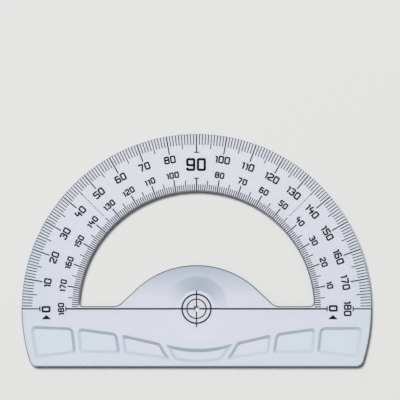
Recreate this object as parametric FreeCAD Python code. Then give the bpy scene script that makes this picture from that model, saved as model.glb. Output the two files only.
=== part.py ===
import FreeCAD, Part
import math
import os

# School protractor, 180 degrees: a moulded clear plate with its scales printed on top.
# Lengths are in millimetres and angles in degrees.
# The origin is the centre of the angles, on the face that lies on the paper. +X runs along the
# zero line to the right, +Y towards 90 degrees, and +Z up from the paper.

Vector = FreeCAD.Vector

# Plate: a disc cut off straight below the zero line
plate_radius = 60.0
plate_thickness = 2.0
straight_edge_depth = 19.8
bottom_corner_radius = 2.7
edge_break = 0.2

# Window: an arc over a straight sill, just above the zero line. The band between the rim and
# the window holds both scales.
band_width = 19.7
sill_height = 0.85
window_corner_radius = 1.5

# Tongue: stands up from the sill into the window and carries the centre of the angles
tongue_height = 15.0
tongue_crown_radius = 30.0
tongue_flank_angle = 43.2
tongue_foot_radius = 4.0
# The most of the level sill beside the tongue that the rounding at its foot may take up
foot_room_share = 0.8

# Lip: the tongue's top face sweeps up to its tip, for a fingertip to lift the plate
lip_start = 4.0
lip_rise = 0.8

# Dish: brings the target close to the paper
dish_floor_radius = 6.4
dish_wall_width = 4.0
dish_depth = 0.8
centre_hole_radius = 0.9

# Grip pockets: seven shallow recesses in a swag along the straight edge
pocket_depth = 0.4
pocket_wall_width = 1.0
pocket_corner_reach = 1.9
pocket_floor_corner_reach = 1.1
pocket_bow_share = 0.85

# Corners of each right-hand pocket, anticlockwise from the top left, as shares of the plate's
# radius across and of the straight edge's depth down. The left-hand ones mirror them.
side_pocket_shares = (
    ((0.705, 0.316), (0.688, 0.765), (0.923, 0.853), (0.953, 0.311)),
    ((0.454, 0.422), (0.435, 0.773), (0.668, 0.762), (0.684, 0.326)),
    ((0.217, 0.596), (0.160, 0.897), (0.414, 0.775), (0.430, 0.441)),
)

# Middle pocket: its top and bottom sides bow down, through a point between their ends
middle_pocket_shares = (
    (-0.190, 0.619), (-0.132, 0.895), (0.0, 0.958), (0.132, 0.895), (0.190, 0.619), (0.0, 0.749),
)

# Print: a film of ink on the top faces
ink_thickness = 0.04
degree_line = 0.26
fine_line = 0.36
strong_line = 0.48
print_margin = 0.1

# Ticks: the outer ones from the rim inwards, the inner ones from the window outwards
outer_degree_length = 3.7
outer_five_length = 5.0
outer_ten_length = 6.3
inner_degree_length = 2.4
inner_five_length = 3.8
inner_ten_length = 4.5

# Caps: short bars across the ends of the lines at 0, 90 and 180
cap_width = 1.75
cap_thickness = 0.35

# Target rings: the outer one stands in from the dish's wall, the inner one from the outer one
ring_margin = 1.2
ring_spacing = 1.72

# Dotted lines between the two scales, from the outer ticks inwards
dot_size = 0.31
dot_pitch = 0.72
dot_end_gap = 0.8

# Pointers: the left one's middle stands in from the rim, the right one's out from the window
pointer_width = 3.2
pointer_height = 1.4
pointer_drop = 2.15
left_pointer_inset = 8.5
right_pointer_offset = 6.5

# How far a cutter runs past what it cuts, and how close to a line counts as on it
overrun = 0.5
pick_tolerance = 0.05

# Marks of the scales, in degrees
half_turn = 180
right_angle = 90
ten_degrees = 10
five_degrees = 5
dotted_angles = (45, 135)

window_radius = plate_radius - band_width
dish_rim_radius = dish_floor_radius + dish_wall_width
dish_floor_height = plate_thickness - dish_depth
plate_top = Vector(0, 0, plate_thickness)
dish_floor = Vector(0, 0, dish_floor_height)


def rounded_corner(before, corner, after, reach):
    """Arc that rounds a corner, from the reach along one side to the reach along the other."""
    back = (before - corner).normalize()
    ahead = (after - corner).normalize()
    half_angle = back.getAngle(ahead) / 2
    radius = reach * math.tan(half_angle)
    inwards = (back + ahead).normalize()
    middle = corner + inwards * (radius / math.sin(half_angle) - radius)
    start = corner + back * reach
    end = corner + ahead * reach
    return start, Part.Arc(start, middle, end).toShape(), end


def rounded_path(points, reaches):
    """Edges along open corners, with the corners between the two ends rounded."""
    edges = []
    place = points[0]
    for i, reach in enumerate(reaches, 1):
        start, arc, end = rounded_corner(points[i - 1], points[i], points[i + 1], reach)
        edges += [Part.LineSegment(place, start).toShape(), arc]
        place = end
    return edges + [Part.LineSegment(place, points[-1]).toShape()]


def rounded_outline(corners, reaches):
    """Closed wire with every corner rounded."""
    turns = []
    for i, corner in enumerate(corners):
        after = corners[(i + 1) % len(corners)]
        turns.append(rounded_corner(corners[i - 1], corner, after, reaches[i]))
    edges = []
    for i, (start, arc, end) in enumerate(turns):
        next_start = turns[(i + 1) % len(turns)][0]
        edges += [arc, Part.LineSegment(end, next_start).toShape()]
    return Part.Wire(edges)


def corner_in_circle(circle_radius, corner_radius, chord_height):
    """Right-hand corner between a circle and a level chord: its arc, and its ends on each."""
    inner_radius = circle_radius - corner_radius
    centre_y = chord_height + corner_radius
    centre = Vector(math.sqrt(inner_radius ** 2 - centre_y ** 2), centre_y, 0)
    on_circle = centre * (circle_radius / inner_radius)
    on_chord = Vector(centre.x, chord_height, 0)
    outwards = (on_circle - centre) + (on_chord - centre)
    middle = centre + outwards.normalize() * corner_radius
    return on_circle, Part.Arc(on_circle, middle, on_chord).toShape(), on_chord


def mirrored(point):
    """The same point on the left-hand side."""
    return Vector(-point.x, point.y, point.z)


def mirrored_shape(shape):
    """The same shape on the left-hand side."""
    return shape.mirror(Vector(), Vector(1, 0, 0))


def prism(edges, bottom, height):
    """Solid on a closed plan, from a bottom level up."""
    face = Part.Face(Part.Wire(edges))
    face.translate(Vector(0, 0, bottom))
    return face.extrude(Vector(0, 0, height))


def ring(outer_radius, inner_radius, bottom, height):
    """Upright ring round the origin."""
    base = Vector(0, 0, bottom)
    outside = Part.makeCylinder(outer_radius, height, base)
    return outside.cut(Part.makeCylinder(inner_radius, height, base))


def plate_outline():
    """Plan of the plate: the rim's arc over the straight edge."""
    rim_end, corner, edge_end = corner_in_circle(
        plate_radius, bottom_corner_radius, -straight_edge_depth)
    rim = Part.Arc(rim_end, Vector(0, plate_radius, 0), mirrored(rim_end)).toShape()
    straight = Part.LineSegment(mirrored(edge_end), edge_end).toShape()
    return [rim, mirrored_shape(corner), straight, corner]


def on_flank(height):
    """Point of the tongue's right-hand flank, or of its line carried on, at a height."""
    flank = math.radians(tongue_flank_angle)
    peak_height = tongue_height - tongue_crown_radius + tongue_crown_radius / math.cos(flank)
    return Vector((peak_height - height) / math.tan(flank), height, 0)


def window_outline():
    """Plan of the window: its arc over the sill, with the tongue standing in it."""
    rim_end, corner, sill_end = corner_in_circle(
        window_radius, window_corner_radius, sill_height)
    rim = Part.Arc(rim_end, Vector(0, window_radius, 0), mirrored(rim_end)).toShape()
    flank = math.radians(tongue_flank_angle)
    foot = on_flank(sill_height)
    peak = Vector(0, sill_height + foot.x * math.tan(flank), 0)
    foot_room = (sill_end.x - foot.x) * foot_room_share
    foot_reach = min(tongue_foot_radius * math.tan(flank / 2), foot_room)
    crown_reach = tongue_crown_radius * math.tan(flank)
    sill = rounded_path(
        [mirrored(sill_end), mirrored(foot), peak, foot, sill_end],
        [foot_reach, crown_reach, foot_reach])
    return [rim, mirrored_shape(corner)] + sill + [corner]


def lip_section():
    """Side view of the tongue's end: level face, then an arc that rises to the tip."""
    far = tongue_height + overrun
    run = far - lip_start
    rise = lip_rise * (run / (tongue_height - lip_start)) ** 2
    radius = (run ** 2 + rise ** 2) / (2 * rise)
    half_angle = math.atan2(rise, run)
    middle = Vector(
        0,
        lip_start + radius * math.sin(half_angle),
        plate_thickness + radius * (1 - math.cos(half_angle)))
    start = Vector(0, lip_start, plate_thickness)
    end = Vector(0, far, plate_thickness + rise)
    corners = [end, Vector(0, far, 0), Vector(0, lip_start, 0), start]
    edges = [Part.Arc(start, middle, end).toShape()]
    edges += [Part.LineSegment(a, b).toShape() for a, b in zip(corners, corners[1:])]
    return Part.Face(Part.Wire(edges))


def end_of_tongue(window):
    """The tongue beyond the start of the lip, cut to the tongue's plan."""
    half_width = on_flank(lip_start).x + overrun
    section = lip_section()
    section.translate(Vector(-half_width, 0, 0))
    return section.extrude(Vector(2 * half_width, 0, 0)).cut(window)


def dish_cutter():
    """Round recess with a sloping wall, open upwards."""
    top = plate_thickness + lip_rise + overrun
    points = [
        Vector(0, 0, dish_floor_height),
        Vector(dish_floor_radius, 0, dish_floor_height),
        Vector(dish_rim_radius, 0, plate_thickness),
        Vector(dish_rim_radius, 0, top),
        Vector(0, 0, top),
    ]
    face = Part.Face(Part.makePolygon(points + points[:1]))
    return face.revolve(Vector(), Vector(0, 0, 1), 2 * half_turn)


def inset(corners, distance):
    """Corners of an anticlockwise plan after every side moves inwards."""
    moved = []
    for i, corner in enumerate(corners):
        after = corners[(i + 1) % len(corners)]
        side_in = (corner - corners[i - 1]).normalize()
        side_out = (after - corner).normalize()
        cross = side_in.x * side_out.y - side_in.y * side_out.x
        moved.append(corner + (side_out - side_in) * (distance / cross))
    return moved


def pocket_section(corners, height, bowed):
    """Outline of a pocket at a height: the walls slope in towards the floor."""
    depth_share = (plate_thickness - height) / pocket_depth
    corners = inset(corners, pocket_wall_width * depth_share)
    corner_reach = (pocket_corner_reach
                    + (pocket_floor_corner_reach - pocket_corner_reach) * depth_share)
    reaches = []
    for i, corner in enumerate(corners):
        if i in bowed:
            reaches.append(corner.distanceToPoint(corners[i - 1]) * pocket_bow_share - corner_reach)
        else:
            reaches.append(corner_reach)
    outline = rounded_outline(corners, reaches)
    outline.translate(Vector(0, 0, height))
    return outline


def pocket_cutter(shares, bowed=()):
    """Solid that cuts one pocket, from past the plate's top down to the pocket's floor."""
    corners = [Vector(x * plate_radius, -y * straight_edge_depth, 0) for x, y in shares]
    mouth = pocket_section(corners, plate_thickness + pocket_depth / 2, bowed)
    floor = pocket_section(corners, plate_thickness - pocket_depth, bowed)
    return Part.makeLoft([mouth, floor], True, True)


def pocket_cutters():
    """All seven pockets: three at each side of the one in the middle."""
    right = [pocket_cutter(shares) for shares in side_pocket_shares]
    middle = pocket_cutter(middle_pocket_shares, bowed=(2, 5))
    return right + [mirrored_shape(cutter) for cutter in right] + [middle]


def window_edges(shape):
    """Edges that run along the window on the top and bottom faces."""
    outline = Part.Wire(window_outline())
    found = []
    for edge in shape.Edges:
        middle = edge.valueAt((edge.FirstParameter + edge.LastParameter) / 2)
        upright = abs(edge.tangentAt(edge.FirstParameter).z) > 1 / 2
        on_plan = Part.Vertex(middle.x, middle.y, 0)
        if not upright and outline.distToShape(on_plan)[0] < pick_tolerance:
            found.append(edge)
    return found


def make_plate():
    """The moulding: outline, window, tongue with its lip, dish, hole and pockets."""
    plate = prism(plate_outline(), 0, plate_thickness)
    level = [edge for edge in plate.Edges if edge.BoundBox.ZLength < pick_tolerance]
    plate = plate.makeChamfer(edge_break, level)
    through = plate_thickness + lip_rise + 2 * overrun
    window = prism(window_outline(), -overrun, through)
    half_width = on_flank(lip_start).x + overrun
    tip_room = Part.makeBox(
        2 * half_width, tongue_height + overrun - lip_start, plate_thickness,
        Vector(-half_width, lip_start, 0))
    plate = plate.cut(window).cut(tip_room)
    plate = plate.fuse(end_of_tongue(window)).removeSplitter()
    plate = plate.makeChamfer(edge_break, window_edges(plate))
    plate = plate.cut(dish_cutter())
    hole = Part.makeCylinder(centre_hole_radius, through, Vector(0, 0, -overrun))
    plate = plate.cut([hole] + pocket_cutters())
    return plate


def bar(inner_end, outer_end, width, angle, base=plate_top):
    """Printed line along a radius, at an angle of the scale."""
    line = Part.makeBox(
        outer_end - inner_end, width, ink_thickness, base + Vector(inner_end, -width / 2, 0))
    return line.rotate(Vector(), Vector(0, 0, 1), angle)


def capped_bar(plain_end, capped_end, width, angle):
    """Printed line along a radius whose one end carries a short bar across it."""
    line = bar(min(plain_end, capped_end), max(plain_end, capped_end), width, angle)
    cap = bar(capped_end - cap_thickness / 2, capped_end + cap_thickness / 2, cap_width, angle)
    return line.fuse(cap).removeSplitter()


def scale_angles(step, coarser_step):
    """Angles of a scale at every step, without those that a coarser step marks."""
    return [a for a in range(step, half_turn, step) if a % coarser_step]


def outer_ticks(length, width, angles):
    """Ticks from the rim inwards."""
    return [bar(plate_radius - length, plate_radius - edge_break, width, a) for a in angles]


def inner_ticks(length, width, angles):
    """Ticks from the window outwards."""
    return [bar(window_radius + edge_break, window_radius + length, width, a) for a in angles]


def outer_zero_marks():
    """Lines from the rim to a cap, at 0 and at 180 degrees."""
    return [capped_bar(plate_radius - edge_break, plate_radius - outer_ten_length, fine_line, a)
            for a in (0, half_turn)]


def outer_ninety_mark():
    """Line from the top of the rim to a cap."""
    return [capped_bar(
        plate_radius - edge_break, plate_radius - outer_ten_length, fine_line, right_angle)]


def inner_ninety_mark():
    """Line from the top of the window to a cap."""
    return [capped_bar(
        window_radius + edge_break, window_radius + inner_ten_length, fine_line, right_angle)]


def dish_ink():
    """Layer of ink over the whole dish, down its wall and across its floor."""
    surface = [
        Vector(centre_hole_radius, 0, dish_floor_height),
        Vector(dish_floor_radius, 0, dish_floor_height),
        Vector(dish_rim_radius, 0, plate_thickness),
        Vector(dish_rim_radius + overrun, 0, plate_thickness),
    ]
    lift = Vector(0, 0, ink_thickness)
    points = surface + [point + lift for point in reversed(surface)]
    face = Part.Face(Part.makePolygon(points + points[:1]))
    return face.revolve(Vector(), Vector(0, 0, 1), 2 * half_turn)


def arm_room(angle):
    """Upright slab over one arm of the zero line, from the hole's edge to past the dish."""
    start = centre_hole_radius + print_margin
    slab = Part.makeBox(
        dish_rim_radius + overrun / 2 - start, strong_line, dish_depth + 2 * overrun,
        Vector(start, -strong_line / 2, dish_floor_height - overrun))
    return slab.rotate(Vector(), Vector(0, 0, 1), angle)


def base_line():
    """The two arms of the zero line, each up the dish's wall and out to a cap."""
    layer = dish_ink()
    cap_radius = window_radius + inner_ten_length
    arms = []
    for angle in (0, half_turn):
        in_dish = layer.common(arm_room(angle))
        outside = capped_bar(dish_rim_radius + overrun / 2, cap_radius, strong_line, angle)
        arms.append(in_dish.fuse(outside).removeSplitter())
    return arms


def cross_line():
    """The two halves of the upright line through the centre, on the dish's floor."""
    start = centre_hole_radius + print_margin
    end = dish_floor_radius - print_margin
    return [bar(start, end, fine_line, a, dish_floor) for a in (right_angle, -right_angle)]


def target_rings():
    """Two rings on the dish's floor, left open where the lines cross them."""
    outer_ring = dish_floor_radius - ring_margin
    inner_ring = outer_ring - ring_spacing
    whole_rings = [
        ring(outer_ring, outer_ring - strong_line, dish_floor_height, ink_thickness),
        ring(inner_ring, inner_ring - fine_line, dish_floor_height, ink_thickness),
    ]
    lines = cross_line() + [arm_room(angle) for angle in (0, half_turn)]
    arcs = []
    for whole in whole_rings:
        arcs += whole.cut(lines).Solids
    return arcs


def dotted_lines():
    """Rows of dots between the two scales at 45 and at 135 degrees."""
    outer_end = plate_radius - outer_five_length
    inner_end = window_radius + inner_five_length + dot_end_gap
    dots = []
    for angle in dotted_angles:
        for i in range(int((outer_end - inner_end) / dot_pitch)):
            place = outer_end - dot_pitch * (i + 1 / 2)
            dots.append(bar(place - dot_size / 2, place + dot_size / 2, dot_size, angle))
    return dots


def pointer(middle):
    """Solid triangle below the zero line, point up."""
    corners = [
        Vector(middle, -pointer_drop, 0),
        Vector(middle - pointer_width / 2, -pointer_drop - pointer_height, 0),
        Vector(middle + pointer_width / 2, -pointer_drop - pointer_height, 0),
    ]
    sides = Part.makePolygon(corners + corners[:1]).Edges
    return prism(sides, plate_thickness, ink_thickness)


def zero_pointers():
    """The triangles below the two zeros where the scales start."""
    return [
        pointer(left_pointer_inset - plate_radius),
        pointer(window_radius + right_pointer_offset),
    ]


degrees = scale_angles(1, five_degrees)
fives = scale_angles(five_degrees, ten_degrees)
tens = scale_angles(ten_degrees, right_angle)

nodes = {
    "plate": [make_plate()],
    "outer_degree_ticks": outer_ticks(outer_degree_length, degree_line, degrees),
    "outer_five_degree_ticks": outer_ticks(outer_five_length, degree_line, fives),
    "outer_ten_degree_ticks": outer_ticks(outer_ten_length, fine_line, tens),
    "outer_zero_marks": outer_zero_marks(),
    "outer_ninety_mark": outer_ninety_mark(),
    "inner_degree_ticks": inner_ticks(inner_degree_length, degree_line, degrees),
    "inner_five_degree_ticks": inner_ticks(inner_five_length, degree_line, fives),
    "inner_ten_degree_ticks": inner_ticks(inner_ten_length, fine_line, tens),
    "inner_ninety_mark": inner_ninety_mark(),
    "base_line": base_line(),
    "centre_cross_line": cross_line(),
    "target_rings": target_rings(),
    "forty_five_degree_dots": dotted_lines(),
    "zero_pointers": zero_pointers(),
}

os.makedirs("parts", exist_ok=True)
for name, solids in nodes.items():
    shape = solids[0] if len(solids) == 1 else Part.makeCompound(solids)
    if not shape.isValid() or not shape.Solids:
        raise ValueError(name + " is not a valid solid")
    shape.exportStep("parts/" + name + ".step")
    print(name, len(shape.Solids), "solids,", round(shape.Volume, 3), "mm3")
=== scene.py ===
import bmesh
import bpy
import math
from mathutils import Matrix, Vector
from mathutils.geometry import delaunay_2d_cdt


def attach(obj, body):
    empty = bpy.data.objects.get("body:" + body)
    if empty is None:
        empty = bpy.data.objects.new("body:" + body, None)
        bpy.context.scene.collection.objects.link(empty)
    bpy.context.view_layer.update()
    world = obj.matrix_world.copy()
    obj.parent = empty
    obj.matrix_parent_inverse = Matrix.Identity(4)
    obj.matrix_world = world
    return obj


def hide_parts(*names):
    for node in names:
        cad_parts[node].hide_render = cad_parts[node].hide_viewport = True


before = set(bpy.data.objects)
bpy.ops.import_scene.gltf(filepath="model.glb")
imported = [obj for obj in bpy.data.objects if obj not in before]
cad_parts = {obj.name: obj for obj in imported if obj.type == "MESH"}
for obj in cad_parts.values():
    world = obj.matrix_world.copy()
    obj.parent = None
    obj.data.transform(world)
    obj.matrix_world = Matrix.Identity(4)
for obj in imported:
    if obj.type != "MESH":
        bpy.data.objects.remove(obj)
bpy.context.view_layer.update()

# The moulded plate

# One injection moulding of clear polystyrene with a pale blue tint: a half disc with a window, and
# in the window a tongue with a finger lip. A dish brings the target close to the paper, and seven
# grip pockets hang in a swag along the straight edge. Every edge is slightly rounded by the mould.

# In millimetres, as every size of this mesh: it is scaled to metres when it is done
plate_radius, plate_thickness = 60, 2
straight_edge_y, bottom_corner = -19.8, 2.7
window_radius, window_corner, sill_y = 40.3, 1.5, 0.85
tongue_height, crown_radius, foot_radius, flank_angle = 15, 30, 4, 43.2
lip_start, lip_radius = 4, 76.1
edge_radius, edge_steps = 0.2, 4
mm = 0.001
# How near to an outline a point counts as on it, and how near two points count as one
margin, weld_distance = 1, 0.0001


def arc(centre_x, centre_y, radius, start, end, steps):
    """Points along an arc from a start angle to an end angle, in degrees."""
    turns = [math.radians(start + (end - start) * i / steps) for i in range(steps + 1)]
    return [Vector((centre_x + radius * math.cos(t), centre_y + radius * math.sin(t), 0))
            for t in turns]


def rim_outline():
    """The plate's outline, anticlockwise: the rim, then the straight edge."""
    corner_y = straight_edge_y + bottom_corner
    corner_x = math.sqrt((plate_radius - bottom_corner) ** 2 - corner_y ** 2)
    low = math.degrees(math.atan2(corner_y, corner_x))
    return (arc(0, 0, plate_radius, low, 180 - low, 160)
            + arc(-corner_x, corner_y, bottom_corner, 180 - low, 270, 12)[1:]
            + arc(corner_x, corner_y, bottom_corner, -90, low, 12)[:-1])


def window_outline():
    """The window's outline, anticlockwise: its arc, then the sill with the tongue."""
    corner_y = sill_y + window_corner
    corner_x = math.sqrt((window_radius - window_corner) ** 2 - corner_y ** 2)
    low = math.degrees(math.atan2(corner_y, corner_x))
    flank = math.radians(flank_angle)
    crown_y = tongue_height - crown_radius
    foot_x = (crown_y + crown_radius / math.cos(flank) - sill_y) / math.tan(flank)
    foot_x += foot_radius * math.tan(flank / 2)
    foot_y = sill_y + foot_radius
    return (arc(0, 0, window_radius, low, 180 - low, 120)
            + arc(-corner_x, corner_y, window_corner, 180 - low, 270, 8)[1:]
            + arc(-foot_x, foot_y, foot_radius, -90, flank_angle - 90, 8)
            + arc(0, crown_y, crown_radius, 90 + flank_angle, 90 - flank_angle, 48)
            + arc(foot_x, foot_y, foot_radius, 270 - flank_angle, 270, 8)
            + arc(corner_x, corner_y, window_corner, -90, low, 8)[:-1])


def offset(outline, distances):
    """An anticlockwise outline with each point moved outwards by its own distance."""
    moved = []
    for i, (point, distance) in enumerate(zip(outline, distances)):
        heading_in = (point - outline[i - 1]).normalized()
        heading_out = (outline[(i + 1) % len(outline)] - point).normalized()
        across = (heading_in + heading_out).normalized()
        moved.append(point + Vector((across.y, -across.x, 0))
                     * (distance / across.dot(heading_out)))
    return moved


def skin(outlines, levels, shade):
    """Bands of faces from each outline to the next, each at its level. Returns the end rings.

    shade is the painted shade of each band, or None for faces whose slope sets their painted shade.
    """
    rings = [[plate_mesh.verts.new((p.x, p.y, z)) for p in outline]
             for outline, z in zip(outlines, levels)]
    for band, (lower, upper) in enumerate(zip(rings, rings[1:])):
        for i in range(len(lower)):
            face = plate_mesh.faces.new((lower[i - 1], lower[i], upper[i], upper[i - 1]))
            face[edge_shade] = 0 if shade is None else shade[band]
    return rings[0], rings[-1]


def in_material(point, rings):
    """True for a point inside the outer ring and outside the others."""
    crossings = 0
    for ring in rings:
        for a, b in zip(ring, ring[1:] + ring[:1]):
            (ax, ay), (bx, by) = a.co.xy, b.co.xy
            if (ay > point.y) != (by > point.y):
                crossings += point.x < ax + (bx - ax) * (point.y - ay) / (by - ay)
    return crossings % 2 == 1


def cover(rings, rows=(), least_spacing=0.4):
    """Fills a level face from its outer ring to the rings inside it, through rows of points."""
    level = rings[0][0].co.z
    corners = [v for ring in rings for v in ring]
    edges, start = [], 0
    for ring in rings:
        edges += [(start + i, start + (i + 1) % len(ring)) for i in range(len(ring))]
        start += len(ring)
    for p in rows:
        clear_of_edges = min((v.co.xy - p).length for v in corners) > least_spacing
        if clear_of_edges and in_material(p, rings):
            corners.append(plate_mesh.verts.new((p.x, p.y, level)))
    points, _, triangles, origins, *_ = delaunay_2d_cdt(
        [v.co.xy for v in corners], edges, [], 0, weld_distance)
    for triangle in triangles:
        if in_material(sum((points[i] for i in triangle), Vector((0, 0))) / 3, rings):
            plate_mesh.faces.new([corners[origins[i][0]] for i in triangle])


def divided(outline, longest):
    """The outline with more points on its straight runs."""
    points = []
    for a, b in zip(outline, outline[1:] + outline[:1]):
        parts = math.ceil((b - a).length / longest)
        points += [a.lerp(b, i / parts) for i in range(parts)]
    return points


def side(outline, sense, shade, shade_widths):
    """The upright side along an outline, rounded at both faces. Returns its end rings.

    shade_widths says how far in the painted dark line along the edge reaches, at each point.
    """
    turns = [math.radians(90 * i / edge_steps) for i in range(edge_steps + 1)]
    steps = [(edge_radius * (1 - math.sin(t)), edge_radius * (1 - math.cos(t))) for t in turns]
    steps += [(inset, plate_thickness - height) for inset, height in reversed(steps)]
    rings = [offset(outline, [sense * inset] * len(outline)) for inset, _ in steps]
    line_end = offset(outline, [sense * width for width in shade_widths])
    levels = [0] + [height for _, height in steps] + [plate_thickness]
    shades = [0] + [upright_shade] * len(turns) + [shade] * len(turns)
    return skin([line_end] + rings + [line_end], levels, shades)


plate_mesh = bmesh.new()
edge_shade = plate_mesh.faces.layers.float.new("edge_shade")
# Painted shade: seen from above, the rounding at an edge throws the light aside, so it is painted
# nearly black. The upright faces, which show from the side, are painted only a deeper blue
upright_shade, rim_shade, window_shade = 0.45, 0.6, 0.8
rim_shade_width, arc_shade_width, sill_shade_width = 0.24, 0.38, 0.27
rim = rim_outline()
rim_low, rim_high = side(rim, -1, rim_shade, [rim_shade_width] * len(rim))
window = divided(window_outline(), longest=1.2)
on_arc = [point.length > window_radius - window_corner / 2 for point in window]
window_low, window_high = side(
    window, 1, window_shade, [arc_shade_width if arc else sill_shade_width for arc in on_arc])

# The dish and the centre hole: radius and height at each step, from the top face to the bottom
dish_rim_radius, dish_floor_height, hole_mouth_radius = 10.65, 1.2, 1.05
dish_steps = (
    (dish_rim_radius, plate_thickness), (10.5, 1.995), (10.35, 1.98), (10.2, 1.955),
    (9.0, 1.715), (7.8, 1.475), (6.6, 1.235), (6.45, 1.21), (6.3, dish_floor_height),
    (3.6, dish_floor_height), (hole_mouth_radius, dish_floor_height))
hole_steps = (
    (hole_mouth_radius, dish_floor_height), (0.95, 1.16), (0.9, 1.06), (0.9, 0.15), (0.95, 0.04),
    (hole_mouth_radius, 0.0))


def turned_rings(steps):
    """Circles about the centre hole, one for each step."""
    return [arc(0, 0, radius, 0, 360, 120)[:-1] for radius, _ in steps]


dish_high, dish_low = skin(turned_rings(dish_steps), [height for _, height in dish_steps], None)
hole_high, hole_low = skin(turned_rings(hole_steps), [height for _, height in hole_steps],
                           [upright_shade] * (len(hole_steps) - 1))

# Each pocket's corners from left to right, in mm: across, up, and how far its rounding reaches.
# Anticlockwise from the top left. The middle pocket is bowed: None stands for its long arcs
pockets = (
    ((-57.18, -5.8, 2.1), (-55.38, -16.89, 1.1), (-41.28, -15.15, 1.4), (-42.3, -6.4, 1.9)),
    ((-41.04, -6.45, 1.8), (-40.08, -15.09, 1.2), (-26.1, -15.31, 1.2), (-27.24, -8.36, 1.6)),
    ((-25.8, -8.73, 1.2), (-24.84, -15.35, 1.1), (-9.1, -17.45, 0.4), (-12.6, -11.72, 0.5)),
    ((-10.6, -12.2, 0.4), (-7.5, -17.6, 0.4), (0.55, -18.93, None), (8.6, -17.5, 0.4),
     (12.6, -11.95, 0.4), (0.7, -14.83, None)),
    ((14.0, -11.42, 0.5), (10.35, -17.4, 0.4), (24.84, -15.35, 1.1), (25.8, -8.73, 1.2)),
    ((27.24, -8.36, 1.6), (26.1, -15.31, 1.2), (40.08, -15.09, 1.2), (41.04, -6.45, 1.8)),
    ((42.3, -6.26, 1.9), (41.28, -15.15, 1.4), (55.38, -16.89, 1.1), (57.18, -6.16, 2.1)),
)
# How far each step of a pocket's wall stands in from its mouth, and its height, in mm
pocket_steps = (
    (0, plate_thickness), (0.08, 1.99), (0.16, 1.965), (0.84, 1.635), (0.92, 1.61), (1.0, 1.6))
floor_reach_share, bow_share = 0.58, 0.8
bow_steps, corner_steps = 20, 8


def pocket_outline(pocket, inset):
    """A pocket's outline in mm, moved in from its mouth, with rounded corners."""
    corners = [Vector((x, y, 0)) for x, y, _ in pocket]
    headings = [(after - corner).normalized()
                for corner, after in zip(corners, corners[1:] + corners[:1])]
    crossings = [headings[i - 1].cross(headings[i]).z for i in range(len(corners))]
    corners = [corner + (headings[i] - headings[i - 1]) * (inset / crossings[i])
               for i, corner in enumerate(corners)]
    outline = []
    for i, (corner, (*_, mouth_reach)) in enumerate(zip(corners, pocket)):
        if mouth_reach is None:
            reach, steps = (corner - corners[i - 1]).length * bow_share, bow_steps
        else:
            reach, steps = mouth_reach * (1 - (1 - floor_reach_share) * inset), corner_steps
        ahead, back = headings[i], -headings[i - 1]
        half_angle = back.angle(ahead) / 2
        radius = reach * math.tan(half_angle)
        centre = corner + (ahead + back).normalized() * (radius / math.sin(half_angle))
        first = (corner + back * reach - centre).normalized()
        last = (corner + ahead * reach - centre).normalized()
        outline += [centre + first.slerp(last, k / steps) * radius for k in range(steps + 1)]
    return outline


pocket_rings = []
for pocket in pockets:
    mouth, floor = skin([pocket_outline(pocket, inset) for inset, _ in pocket_steps],
                        [height for _, height in pocket_steps], None)
    plate_mesh.faces.new(floor)
    pocket_rings.append(mouth)

# The lip: rows of points across the tongue let its top face be lifted along an arc. Points below
# the level of the dish's floor stay, and from lift_fade above it they take the whole lift
lip_reach, lift_fade = 30, 0.6
row_count, row_spacing, half_row, point_spacing = 22, 0.5, 14, 1.5
lip_rows = [Vector((column * point_spacing, lip_start + row * row_spacing))
            for row in range(row_count) for column in range(-half_row, half_row + 1)]
lip_rows = [point for point in lip_rows if point.length < lip_reach]
cover([rim_high, window_high, dish_high] + pocket_rings, lip_rows)
cover([rim_low, window_low, hole_low])
bmesh.ops.remove_doubles(plate_mesh, verts=dish_low + hole_high, dist=weld_distance)
for v in plate_mesh.verts:
    if v.co.y > lip_start and v.co.xy.length < window_radius - margin:
        lift = lip_radius - math.sqrt(lip_radius ** 2 - (v.co.y - lip_start) ** 2)
        v.co.z += lift * min(1, max(0, (v.co.z - dish_floor_height) / lift_fade))
bmesh.ops.recalc_face_normals(plate_mesh, faces=plate_mesh.faces)

# Painted shade stands in for the light that clear plastic bends aside at a slope: each face corner
# keeps its painted shade in the mesh, 0 level, 1 black, and it darkens the plate's colour. A face
# whose normal rises above level_normal is level, and one below mid_height is on the underside
level_normal, mid_height, seam = 0.9999, 0.5, 0.05
rim_arc_start, rim_arc_shade, rim_arc_slant = 0.2, 0.2, 0.001
window_arc_shade_cut, window_arc_slant = 0.09, 0.0022
sill_painted_shade, tongue_shade_fade, tongue_slant, tongue_start = 0.27, 0.0215, 0.0065, 2
hole_swing, hole_lamp_side = 0.45, Vector((-0.53, 0.85))


def edge_look(place, base):
    """The painted shade of the line along an edge at a place, from its outline's painted shade in
    general.
    """
    from_centre = place.xy.length
    if from_centre < 2 * hole_mouth_radius:
        # Painted shade: the hole's mouth is painted darkest on the lamp's side
        return base + hole_swing * place.xy.normalized().dot(hole_lamp_side)
    if from_centre > plate_radius - margin and place.y > rim_arc_start:
        return rim_arc_shade + rim_arc_slant * place.x
    if from_centre > window_radius + margin or place.y < sill_y - margin:
        return base
    if from_centre > window_radius - margin:
        return base + window_arc_slant * place.x - window_arc_shade_cut
    # Painted shade: the tongue's edge is painted darker away from the lamp, and lighter where the
    # lip is lifted
    slant = tongue_slant * place.x if place.y > tongue_start else 0
    return base + sill_painted_shade - tongue_shade_fade * place.y + slant


# Painted shade on the dish's wall, deepest on the lamp's side, with a faint painted highlight on
# the far side; painted shade on the lip, growing towards its crown; and painted shade on the pocket
# walls, deeper on walls that face away from swag_centre
dish_shade, dish_fall, dish_gleam, dish_lamp_side = 0.32, 1.5, 0.02, Vector((0.14, 0.99))
lip_shade = 1.86
wall_shade, wall_swing, level_wall_shade = 0.26, 0.153, 0.035
right_wall_shade_cut, bottom_wall_shade_cut = 0.0009, 0.00125
swag_centre = Vector((0, 37))


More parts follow.
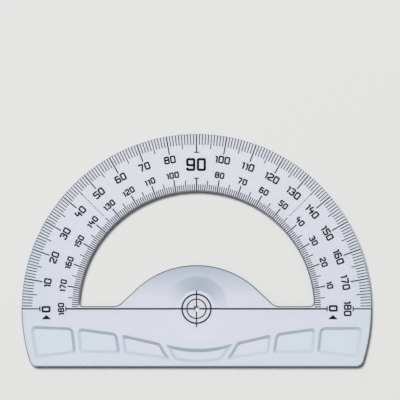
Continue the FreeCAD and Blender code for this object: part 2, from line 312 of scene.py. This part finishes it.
def slope_look(place, normal):
    """The painted shade of a face at the dish's wall, the lip or a pocket's wall; below 0, a
    painted highlight.
    """
    from_centre, level = place.xy.length, normal.z >= level_normal
    if place.z <= mid_height:
        return 0
    if from_centre < dish_rim_radius + seam and not level:
        towards_lamp = place.xy.normalized().dot(dish_lamp_side)
        if towards_lamp > 0:
            return dish_shade * towards_lamp ** dish_fall
        return dish_gleam * towards_lamp
    if place.y > lip_start and dish_rim_radius - seam < from_centre < lip_reach:
        return (place.y - lip_start) / lip_radius * lip_shade
    if level:
        return 0
    facing = normal.xy.normalized()
    away = -facing.dot((swag_centre - place.xy).normalized())
    wall_painted_shade = wall_shade + wall_swing * away + level_wall_shade * abs(facing.y)
    # Walls on the right get a little less painted shade, and so do the outer pockets' bottom walls
    wall_painted_shade -= right_wall_shade_cut * max(0, place.x)
    return wall_painted_shade - bottom_wall_shade_cut * abs(place.x) * max(0, facing.y)


shade_layer = plate_mesh.loops.layers.float.new("shade")
turned_layer = plate_mesh.loops.layers.float.new("turns_light_aside")
for face in plate_mesh.faces:
    face.smooth = True
    for loop in face.loops:
        place = loop.vert.co
        if face[edge_shade]:
            loop[turned_layer] = 1
            loop[shade_layer] = min(1, edge_look(place, face[edge_shade]))
        else:
            loop[shade_layer] = min(1, slope_look(place, face.normal))
plate_mesh.transform(Matrix.Scale(mm, 4))
plate = bpy.data.objects.new("clear_plate", bpy.data.meshes.new("clear_plate"))
plate_mesh.to_mesh(plate.data)
plate_mesh.free()
bpy.context.scene.collection.objects.link(plate)
weighted = plate.modifiers.new("level faces stay level", "WEIGHTED_NORMAL")
weighted.weight = 100
weighted.keep_sharp = False


class Wire:
    """One output of a shader node. Signs between wires add Math nodes, node() adds any other."""

    def __init__(self, tree, output=None):
        self.tree, self.output = tree, output

    def node(self, kind, settings, inputs, output=0):
        """Adds a node, sets it, then fills or links its inputs. Returns one of its outputs."""
        made = self.tree.nodes.new("ShaderNode" + kind)
        for name, value in settings.items():
            setattr(made, name, value)
        self.fill(made, inputs)
        return Wire(self.tree, made.outputs[output])

    def fill(self, made, inputs):
        """Sets or links inputs of a node."""
        for name, value in inputs.items():
            if isinstance(value, Wire):
                self.tree.links.new(value.output, made.inputs[name])
            else:
                made.inputs[name].default_value = value

    def maths(self, operation, first, second):
        return self.node("Math", {"operation": operation}, {0: first, 1: second})

    def __add__(self, other):
        return self.maths("ADD", self, other)

    def __mul__(self, other):
        return self.maths("MULTIPLY", self, other)

    def __sub__(self, other):
        return self.maths("SUBTRACT", self, other)

    def __rsub__(self, other):
        return self.maths("SUBTRACT", other, self)

    def __pow__(self, other):
        return self.maths("POWER", self, other)

    __radd__, __rmul__ = __add__, __mul__


def finish_material(name, **values):
    """A new material with a Principled shader. Returns the material, its shader and its wires."""
    made = bpy.data.materials.new(name)
    made.use_nodes = True
    shader = made.node_tree.nodes["Principled BSDF"]
    for socket, value in values.items():
        shader.inputs[socket.replace("_", " ")].default_value = value
    return made, shader, Wire(made.node_tree)


clear_polystyrene, shader, wires = finish_material(
    "clear_polystyrene", IOR=1.55, Transmission_Weight=0.9)
place = wires.node("TexCoord", {}, {}, "Object")
shade = wires.node("Attribute", {"attribute_name": "shade"}, {}, "Fac")
turned_aside = wires.node("Attribute", {"attribute_name": "turns_light_aside"}, {}, "Fac")
# The melt's flow leaves very faint clouds in the tint. The tint is also a little greener towards
# the ends and the straight edge, and paler at the top of the arc. Its distances below are in metres
thin_tint, thick_tint = (0.847, 0.857, 0.935, 1), (0.833, 0.845, 0.930, 1)
arc_tint, base_tint = (0.858, 0.872, 0.934, 1), (0.806, 0.860, 0.928, 1)
end_tint, shaded_slope_tint = (0.800, 0.854, 0.921, 1), (0.785, 0.857, 0.919, 1)
flow = wires.node("TexNoise", {}, {"Vector": place, "Scale": 35.0, "Detail": 2.0}, "Fac")
# A Mix node's sockets 0, 6 and 7 are its factor and the colours it mixes
tint = wires.node("Mix", {"data_type": "RGBA"}, {0: flow, 6: thick_tint, 7: thin_tint}, 2)
across, up = (wires.node("SeparateXYZ", {}, {"Vector": place}, axis) for axis in "XY")
# 1 in the middle of the plate, where the greener tint starts lower, and 0 towards the ends
middle = wires.node("MapRange", {"interpolation_type": "SMOOTHSTEP"}, {
    "Value": across * across, "From Min": 0.0014, "From Max": 0.00025})
for distance, start, end, new_tint in (
        (up, 0.015, 0.045, arc_tint), (up + 0.009 * middle, -0.004, -0.008, base_tint),
        (across, 0.049, 0.054, end_tint), (across, -0.049, -0.054, end_tint)):
    share = wires.node("MapRange", {"interpolation_type": "SMOOTHSTEP"}, {
        "Value": distance, "From Min": start, "From Max": end})
    tint = wires.node("Mix", {"data_type": "RGBA"}, {0: share, 6: tint, 7: new_tint}, 2)
# The tint turns a greener blue where a slope has painted shade or a painted highlight
slope = wires.maths("ABSOLUTE", shade, 0) - turned_aside
slope = wires.node("MapRange", {}, {"Value": slope, "From Max": 0.3})
tint = wires.node("Mix", {"data_type": "RGBA"}, {0: slope, 6: tint, 7: shaded_slope_tint}, 2)
# The painted shade takes most of the red and least of the blue. It counts twice, once for each
# face.
# The painted lines along the edges are nearer to grey
green_share = 0.86 + 0.06 * turned_aside
blue_share = 0.72 + 0.12 * turned_aside
painted_shade_colour = wires.node("CombineColor", {}, {
    "Red": (1 - shade) ** 2, "Green": (1 - shade * green_share) ** 2,
    "Blue": (1 - shade * blue_share) ** 2})
colour = wires.node("Mix", {"data_type": "RGBA", "blend_type": "MULTIPLY"}, {
    0: 1.0, 6: tint, 7: painted_shade_colour}, 2)
# Handling leaves hair scratches in soft polystyrene
scuffs = wires.node("TexNoise", {}, {
    "Vector": place, "Scale": 420.0, "Detail": 5.0, "Roughness": 0.7, "Distortion": 1.5}, "Fac")
swell = wires.node("TexNoise", {}, {"Vector": place, "Scale": 90.0, "Detail": 1.0}, "Fac")
bump = wires.node("Bump", {}, {"Height": swell, "Strength": 0.06, "Distance": 0.0002})
polish, scuffing = 0.015, 0.09
wires.fill(shader, {
    "Base Color": colour, "Roughness": polish + scuffing * scuffs ** 3, "Normal": bump})
# Lamps shine through level plastic, as they do through the real plate. An upright side turns
# their light aside where it meets it from outside, and that throws the plate's narrow shadow
shadow_ray = wires.node("LightPath", {}, {}, "Is Shadow Ray")
back_of_face = wires.node("NewGeometry", {}, {}, "Backfacing")
lets_lamp = shadow_ray * (1 - turned_aside * (1 - back_of_face))
let_by = (0.985, 0.99, 1.0, 1)
passed = wires.node("BsdfTransparent", {}, {"Color": let_by})
surface = wires.node("MixShader", {}, {
    0: lets_lamp, 1: Wire(wires.tree, shader.outputs["BSDF"]), 2: passed})
wires.fill(clear_polystyrene.node_tree.nodes["Material Output"], {"Surface": surface})
plate.data.materials.append(clear_polystyrene)

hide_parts("plate")
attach(plate, "root")

# The printed scales

# The degree marks, the base line, the target and the two pointers: black ink, screen printed on
# the plate's top face after moulding. A film of ink is a few hundredths of a millimetre high.

black_print, shader, wires = finish_material("black_print", IOR=1.45, Specular_IOR_Level=0.1)
place = wires.node("TexCoord", {}, {}, "Object")
# The mesh of the screen leaves the film a little thinner in places
thick_ink, thin_ink = (0.003, 0.003, 0.004, 1), (0.009, 0.009, 0.011, 1)
film = wires.node("TexNoise", {}, {"Vector": place, "Scale": 1800.0, "Detail": 3.0}, "Fac")
colour = wires.node("Mix", {"data_type": "RGBA"}, {0: film, 6: thick_ink, 7: thin_ink}, 2)
bump = wires.node("Bump", {}, {"Height": film, "Strength": 0.2, "Distance": 0.00002})
wires.fill(shader, {"Base Color": colour, "Roughness": 0.38 + 0.25 * film, "Normal": bump})
for name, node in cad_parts.items():
    if name != "plate":
        node.data.materials.clear()
        node.data.materials.append(black_print)
        node.visible_shadow = False

# The numbers of both scales

# Squarish numbers of one even stroke, printed with the marks. The outer scale counts clockwise,
# the inner one anticlockwise. The 90 that they share is large, and the zeros they start from bold.

# Each digit's strokes, in a box one wide and one high. A closed stroke is a loop
digit_strokes = (
    (("loop", (0, 0), (1, 0), (1, 1), (0, 1)),),
    (("line", (0, 0.76), (0.42, 1), (0.42, -0.13)),),
    (("line", (0, 0.8), (0, 1), (1, 1), (1, 0.6), (0, 0.24), (0, 0), (1.16, 0)),),
    (("line", (0, 0.84), (0, 1), (0.95, 1), (0.95, 0.53), (0.3, 0.53)),
     ("line", (0.3, 0.53), (1, 0.53), (1, 0), (0, 0), (0, 0.16))),
    (("line", (0.24, 1.13), (0, 0.44), (1.18, 0.44)), ("line", (0.85, 0.8), (0.85, -0.13))),
    (("line", (1.14, 1), (0, 1), (0, 0.56), (1, 0.56), (1, 0), (0, 0), (0, 0.16)),),
    (("loop", (0, 0), (1, 0), (1, 0.56), (0, 0.56)), ("line", (0, 0.4), (0, 1), (0.95, 1))),
    (("line", (-0.16, 1), (1, 1), (0.38, -0.13)),),
    (("loop", (0, 0), (1, 0), (1, 0.53), (0, 0.53)),
     ("loop", (0.04, 0.53), (0.96, 0.53), (0.96, 1), (0.04, 1))),
    (("loop", (0, 0.44), (1, 0.44), (1, 1), (0, 1)), ("line", (1, 0.6), (1, 0), (0, 0), (0, 0.2))),
)
digit_widths = [1, 0.42, 1, 1, 1, 1, 1, 1, 1, 1]
points, runs, digits = [], [], []
for digit, strokes in enumerate(digit_strokes):
    for kind, *stroke in strokes:
        first = len(points)
        points += [(x, y, 0) for x, y in stroke]
        digits += [digit] * len(stroke)
        runs += [(i, i + 1) for i in range(first, len(points) - 1)]
        if kind == "loop":
            runs.append((len(points) - 1, first))
digit_lines = bpy.data.objects.new("digit lines", bpy.data.meshes.new("digit lines"))
digit_lines.data.from_pydata(points, runs, [])
digit_lines.data.attributes.new("digit", "INT", "POINT").data.foreach_set("value", digits)


def tree_node(tree, kind, settings, inputs, output=0):
    """Adds a node to a Geometry Nodes tree, sets it, then fills or links its inputs."""
    made = tree.nodes.new(kind)
    for name, value in settings.items():
        setattr(made, name, value)
    for name, value in inputs.items():
        for single in value if isinstance(value, list) else [value]:
            if isinstance(single, bpy.types.NodeSocket):
                tree.links.new(single, made.inputs[name])
            else:
                made.inputs[name].default_value = single
    return made.outputs[output] if made.outputs else None


# Strokes of ink along the digits' lines, and one digit of them on each point of the input mesh
print_numbers = bpy.data.node_groups.new("print numbers", "GeometryNodeTree")
for name, kind in (("Places", "Geometry"), ("Digit Lines", "Object"), ("Digit Width", "Float"),
                   ("Digit Height", "Float"), ("Stroke Width", "Float"), ("Corner Radius", "Float"),
                   ("Ink Height", "Float"), ("Ink", "Material")):
    print_numbers.interface.new_socket(name, in_out="INPUT", socket_type="NodeSocket" + kind)
print_numbers.interface.new_socket("Print", in_out="OUTPUT", socket_type="NodeSocketGeometry")
given = print_numbers.nodes.new("NodeGroupInput").outputs
drawn = tree_node(print_numbers, "GeometryNodeObjectInfo", {}, {
    "Object": given["Digit Lines"]}, "Geometry")
line_width, line_height = (tree_node(print_numbers, "ShaderNodeMath", {"operation": "SUBTRACT"}, {
    0: given[name], 1: given["Stroke Width"]}) for name in ("Digit Width", "Digit Height"))
drawn = tree_node(print_numbers, "GeometryNodeTransform", {}, {
    "Geometry": drawn, "Scale": tree_node(print_numbers, "ShaderNodeCombineXYZ", {}, {
        "X": line_width, "Y": line_height, "Z": 1.0})})
drawn = tree_node(print_numbers, "GeometryNodeMeshToCurve", {}, {"Mesh": drawn})
drawn = tree_node(print_numbers, "GeometryNodeFilletCurve", {"mode": "POLY"}, {
    "Curve": drawn, "Count": 4, "Radius": given["Corner Radius"], "Limit Radius": True})
drawn = tree_node(print_numbers, "GeometryNodeSetCurveNormal", {"mode": "Z_UP"}, {"Curve": drawn})
section = tree_node(print_numbers, "GeometryNodeCurvePrimitiveQuadrilateral", {}, {
    "Width": given["Stroke Width"], "Height": given["Ink Height"]})
strokes = tree_node(print_numbers, "GeometryNodeCurveToMesh", {}, {
    "Curve": drawn, "Profile Curve": section, "Fill Caps": True})
own_digit = tree_node(print_numbers, "GeometryNodeInputNamedAttribute", {"data_type": "INT"}, {
    "Name": "digit"})
stamps = tree_node(print_numbers, "GeometryNodeSplitToInstances", {"domain": "POINT"}, {
    "Geometry": strokes, "Group ID": own_digit})
turn = tree_node(print_numbers, "GeometryNodeInputNamedAttribute", {"data_type": "FLOAT"}, {
    "Name": "turn"})
printed = tree_node(print_numbers, "GeometryNodeInstanceOnPoints", {}, {
    "Points": given["Places"], "Instance": stamps, "Pick Instance": True,
    "Instance Index": own_digit,
    "Rotation": tree_node(print_numbers, "ShaderNodeCombineXYZ", {}, {"Z": turn})})
printed = tree_node(print_numbers, "GeometryNodeRealizeInstances", {}, {"Geometry": printed})
printed = tree_node(print_numbers, "GeometryNodeSetMaterial", {}, {
    "Geometry": printed, "Material": given["Ink"]})
tree_node(print_numbers, "NodeGroupOutput", {}, {"Print": printed})

# Name, sizes in mm (radius of the digits' middles, their height and width, the stroke and the gap
# between digits), and each number with its angle, anticlockwise from the right
number_prints = (
    ("outer_scale_numbers", (51.87, 2.6, 1.9, 0.515, 0.21),
     [(v, 180 - v) for v in range(10, 190, 10) if v != 90]),
    ("inner_scale_numbers", (46.46, 2.17, 1.56, 0.475, 0.18),
     [(v, v) for v in range(10, 190, 10) if v != 90]),
    ("ninety_number", (49.5, 4.4, 3.12, 0.78, 0.53), [(90, 90)]),
    ("outer_zero_number", (51.6, 3.05, 2.2, 0.63, 0), [(0, 180)]),
    ("inner_zero_number", (46.9, 3.05, 2.2, 0.63, 0), [(0, 0)]),
)
ink_bottom, ink_height = plate_thickness, 0.04
corner_radius_share = 0.45
# The numbers sit slightly anticlockwise of their marks
print_lag = 0.15
for name, (radius, height, width, stroke, gap), numbers in number_prints:
    places, digits, turns = [], [], []
    for value, angle in numbers:
        widths = [digit_widths[int(d)] * (width - stroke) + stroke for d in str(value)]
        across = (stroke - sum(widths) - gap * (len(widths) - 1)) / 2 - print_lag
        to_place = Matrix.Rotation(math.radians(angle - 90), 4, "Z")
        for digit, digit_width in zip(str(value), widths):
            places.append(to_place @ Vector((
                across, radius - (height - stroke) / 2, ink_bottom + ink_height / 2)) * mm)
            digits.append(int(digit))
            turns.append(math.radians(angle - 90))
            across += digit_width + gap
    print_places = bpy.data.meshes.new(name)
    print_places.from_pydata(places, [], [])
    print_places.attributes.new("digit", "INT", "POINT").data.foreach_set("value", digits)
    print_places.attributes.new("turn", "FLOAT", "POINT").data.foreach_set("value", turns)
    piece = bpy.data.objects.new(name, print_places)
    bpy.context.scene.collection.objects.link(piece)
    printing = piece.modifiers.new("print numbers", "NODES")
    printing.node_group = print_numbers
    values = {
        "Digit Lines": digit_lines, "Digit Width": width * mm, "Digit Height": height * mm,
        "Stroke Width": stroke * mm, "Corner Radius": stroke * corner_radius_share * mm,
        "Ink Height": ink_height * mm, "Ink": black_print}
    for socket in print_numbers.interface.items_tree:
        if socket.name in values:
            printing[socket.identifier] = values[socket.name]
    evaluated = piece.evaluated_get(bpy.context.evaluated_depsgraph_get())
    piece.data = bpy.data.meshes.new_from_object(evaluated)
    piece.modifiers.clear()
    piece.data.materials.clear()
    piece.data.materials.append(black_print)
    piece.visible_shadow = False
    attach(piece, "root")
bpy.data.objects.remove(digit_lines)

# The card under the tool

# A wide sheet of pale, uncoated card that the protractor lies on. It isn't part of the tool.

card_mesh = bpy.data.meshes.new("card")
reach, drop = 1.5, -0.0001
card_mesh.from_pydata([(-reach, -reach, drop), (reach, -reach, drop), (reach, reach, drop),
                       (-reach, reach, drop)], [], [(0, 1, 2, 3)])
card = bpy.data.objects.new("card", card_mesh)
bpy.context.scene.collection.objects.link(card)
pale_card, shader, wires = finish_material("pale_card", Specular_IOR_Level=0.0, Roughness=0.9)
place = wires.node("TexCoord", {}, {}, "Object")
dull_card, bright_card = (0.782, 0.782, 0.775, 1), (0.798, 0.798, 0.791, 1)
fibres = wires.node("TexNoise", {}, {"Vector": place, "Scale": 900.0, "Detail": 4.0}, "Fac")
colour = wires.node("Mix", {"data_type": "RGBA"}, {0: fibres, 6: dull_card, 7: bright_card}, 2)
wires.fill(shader, {"Base Color": colour})
card_mesh.materials.append(pale_card)

# Light and camera

# One round soft lamp, up and slightly to the left, in a pale room. The camera looks straight down.

room = bpy.data.worlds.new("room")
bpy.context.scene.world = room
room.use_nodes = True
wires = Wire(room.node_tree)
seen = wires.maths("MAXIMUM", wires.node("LightPath", {}, {}, "Is Camera Ray"),
                   wires.node("LightPath", {}, {}, "Is Glossy Ray"))
seen = wires.maths("MAXIMUM", seen, wires.node("LightPath", {}, {}, "Is Transmission Ray"))
lights_card = wires.maths("MINIMUM", wires.node("LightPath", {}, {}, "Diffuse Depth"), 1.0)
seen = seen * (1 - lights_card)
lit, shown = 0.155, 0.79
wires.fill(room.node_tree.nodes["Background"], {
    "Color": (1, 1, 1, 1), "Strength": lit + (shown - lit) * seen})

lamp_distance, middle_of_plate = 6, Vector((0, 0.03, 0))
lamp_data = bpy.data.lights.new("key", "AREA")
lamp_data.shape = "DISK"
lamp_data.size = 2.44
lamp_data.energy = 352
lamp = bpy.data.objects.new("key", lamp_data)
towards_lamp = Vector((-0.3, 0.48, 1)).normalized()
lamp.location = towards_lamp * lamp_distance + middle_of_plate
lamp.rotation_mode = "QUATERNION"
lamp.rotation_quaternion = towards_lamp.to_track_quat("Z", "Y")
lamp.visible_glossy = False
lamp.visible_transmission = False
bpy.context.scene.collection.objects.link(lamp)

# The photograph takes in 137 mm across. In metres: that width at the plate's top face, and the
# place that it is centred on
view_width, view_centre = 0.13718, (0.0012, 0.03733)
camera_data = bpy.data.cameras.new("camera")
camera_data.lens = 300
camera_data.sensor_width = 36
camera_data.clip_end = 10
camera = bpy.data.objects.new("camera", camera_data)
camera.location = (
    *view_centre, plate_thickness * mm + view_width * camera_data.lens / camera_data.sensor_width)
bpy.context.scene.collection.objects.link(camera)
bpy.context.scene.camera = camera
bpy.context.scene.view_settings.view_transform = "Standard"
